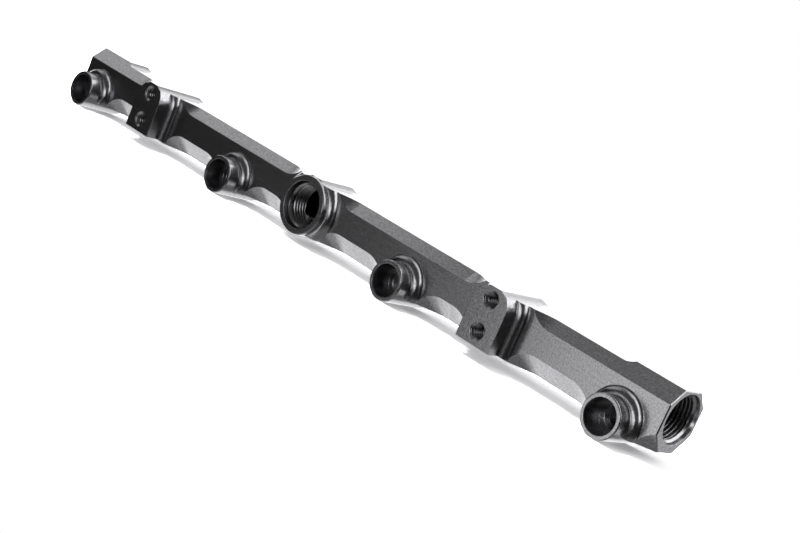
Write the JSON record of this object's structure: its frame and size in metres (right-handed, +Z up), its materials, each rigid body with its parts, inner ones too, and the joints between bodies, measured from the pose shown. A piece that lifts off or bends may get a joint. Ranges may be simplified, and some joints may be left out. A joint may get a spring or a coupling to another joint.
{
  "type": "fuel rail",
  "caption": "Machined fuel rail with sockets for injector tops, straight-thread ports at its ends and front, and drilled mounting pads",
  "frame": {"origin": "on the first injector pocket's axis, in the plane of the bar's front face", "axes": "+X along the rail towards the far injectors, +Y into the rail from its front face, +Z up; the injector pockets open along -Y"},
  "size_m": [0.3662, 0.0323, 0.0283],
  "materials": {
    "rail": "satin anodised, dark grey"
  },
  "bodies": {
    "root": {"rail_body": "rail"}
  },
  "joints": []
}
